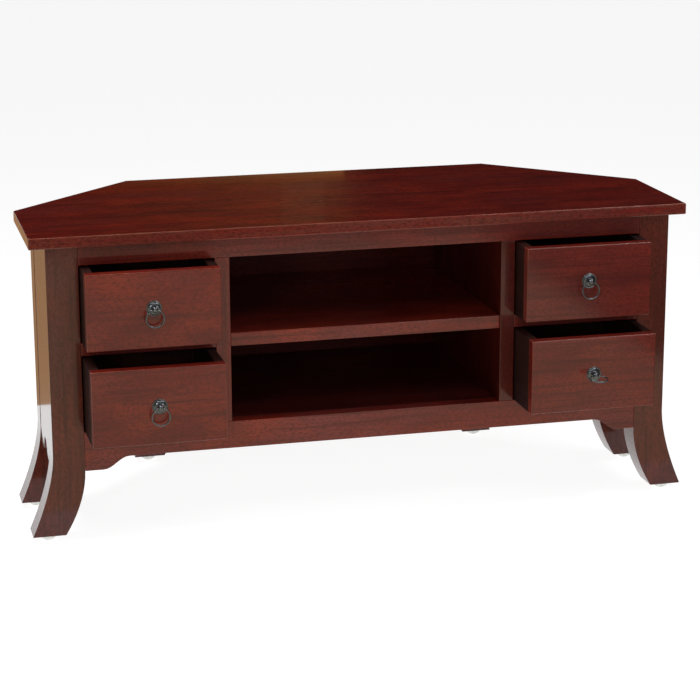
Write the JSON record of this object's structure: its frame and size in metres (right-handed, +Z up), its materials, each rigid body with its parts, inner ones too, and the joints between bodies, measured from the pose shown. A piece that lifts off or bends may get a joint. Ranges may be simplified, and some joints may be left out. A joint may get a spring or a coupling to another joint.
{
  "type": "media cabinet",
  "caption": "Low corner media cabinet with a six-sided top, sabre legs, an open two-level bay and inset drawers with ring pulls.",
  "frame": {"origin": "middle of the object's width and depth, drawers as they stand open at rest, at floor level", "axes": "+X to the right of someone facing the front, +Y to the back, +Z up"},
  "size_m": [1.1206, 0.571, 0.5085],
  "materials": {
    "mahogany_top": "satin lacquer",
    "mahogany_frame": "satin lacquer",
    "mahogany_drawer_front": "satin lacquer",
    "mahogany_drawer_box": "thin stain",
    "mahogany_inside": "thin stain",
    "antique_pewter": "dark antique polish",
    "glide_plastic": "smooth"
  },
  "bodies": {
    "cabinet": {"top_panel": "mahogany_top", "top_rail": "mahogany_frame", "bottom_rail": "mahogany_frame", "bottom_panel": "mahogany_inside", "back_panel": "mahogany_inside", "bay_shelf": "mahogany_frame", "front_leg_left": "mahogany_frame", "side_leg_left": "mahogany_frame", "back_leg_left": "mahogany_frame", "front_glide_left": "glide_plastic", "side_glide_left": "glide_plastic", "back_glide_left": "glide_plastic", "side_panel_left": "mahogany_frame", "diagonal_panel_left": "mahogany_frame", "partition_left": "mahogany_frame", "drawer_divider_left": "mahogany_frame", "drawer_kicker_left": "mahogany_inside", "front_leg_right": "mahogany_frame", "side_leg_right": "mahogany_frame", "back_leg_right": "mahogany_frame", "front_glide_right": "glide_plastic", "side_glide_right": "glide_plastic", "back_glide_right": "glide_plastic", "side_panel_right": "mahogany_frame", "diagonal_panel_right": "mahogany_frame", "partition_right": "mahogany_frame", "drawer_divider_right": "mahogany_frame", "drawer_kicker_right": "mahogany_inside"},
    "drawer_upper_left": {"drawer_upper_left_front": "mahogany_drawer_front", "drawer_upper_left_side_left": "mahogany_drawer_box", "drawer_upper_left_side_right": "mahogany_drawer_box", "drawer_upper_left_back": "mahogany_drawer_box", "drawer_upper_left_bottom": "mahogany_drawer_box", "handle_upper_left_rosette": "antique_pewter", "handle_upper_left_stud": "antique_pewter"},
    "ring_upper_left": {"handle_upper_left_ring": "antique_pewter"},
    "drawer_upper_right": {"drawer_upper_right_front": "mahogany_drawer_front", "drawer_upper_right_side_left": "mahogany_drawer_box", "drawer_upper_right_side_right": "mahogany_drawer_box", "drawer_upper_right_back": "mahogany_drawer_box", "drawer_upper_right_bottom": "mahogany_drawer_box", "handle_upper_right_rosette": "antique_pewter", "handle_upper_right_stud": "antique_pewter"},
    "ring_upper_right": {"handle_upper_right_ring": "antique_pewter"},
    "drawer_lower_left": {"drawer_lower_left_front": "mahogany_drawer_front", "drawer_lower_left_side_left": "mahogany_drawer_box", "drawer_lower_left_side_right": "mahogany_drawer_box", "drawer_lower_left_back": "mahogany_drawer_box", "drawer_lower_left_bottom": "mahogany_drawer_box", "handle_lower_left_rosette": "antique_pewter", "handle_lower_left_stud": "antique_pewter"},
    "ring_lower_left": {"handle_lower_left_ring": "antique_pewter"},
    "drawer_lower_right": {"drawer_lower_right_front": "mahogany_drawer_front", "drawer_lower_right_side_left": "mahogany_drawer_box", "drawer_lower_right_side_right": "mahogany_drawer_box", "drawer_lower_right_back": "mahogany_drawer_box", "drawer_lower_right_bottom": "mahogany_drawer_box", "handle_lower_right_rosette": "antique_pewter", "handle_lower_right_stud": "antique_pewter"},
    "ring_lower_right": {"handle_lower_right_ring": "antique_pewter"}
  },
  "joints": [
    {"name": "upper_left_drawer_slide", "type": "slide", "parent": "cabinet", "child": "drawer_upper_left", "axis": [0, -1, 0], "range_m": [-0.063, 0.107]},
    {"name": "upper_left_ring_hinge", "type": "hinge", "parent": "drawer_upper_left", "child": "ring_upper_left", "pos_m": [-0.3625, -0.22653, 0.3974], "axis": [-1, 0, 0], "range_deg": [-14, 112]},
    {"name": "upper_right_drawer_slide", "type": "slide", "parent": "cabinet", "child": "drawer_upper_right", "axis": [0, -1, 0], "range_m": [-0.059, 0.111]},
    {"name": "upper_right_ring_hinge", "type": "hinge", "parent": "drawer_upper_right", "child": "ring_upper_right", "pos_m": [0.3625, -0.22253, 0.3974], "axis": [-1, 0, 0], "range_deg": [-14, 112]},
    {"name": "lower_left_drawer_slide", "type": "slide", "parent": "cabinet", "child": "drawer_lower_left", "axis": [0, -1, 0], "range_m": [-0.096, 0.074]},
    {"name": "lower_left_ring_hinge", "type": "hinge", "parent": "drawer_lower_left", "child": "ring_lower_left", "pos_m": [-0.3625, -0.25953, 0.2462], "axis": [-1, 0, 0], "range_deg": [-14, 112]},
    {"name": "lower_right_drawer_slide", "type": "slide", "parent": "cabinet", "child": "drawer_lower_right", "axis": [0, -1, 0], "range_m": [-0.092, 0.078]},
    {"name": "lower_right_ring_hinge", "type": "hinge", "parent": "drawer_lower_right", "child": "ring_lower_right", "pos_m": [0.3625, -0.25553, 0.2462], "axis": [-1, 0, 0], "range_deg": [-98, 28]}
  ]
}
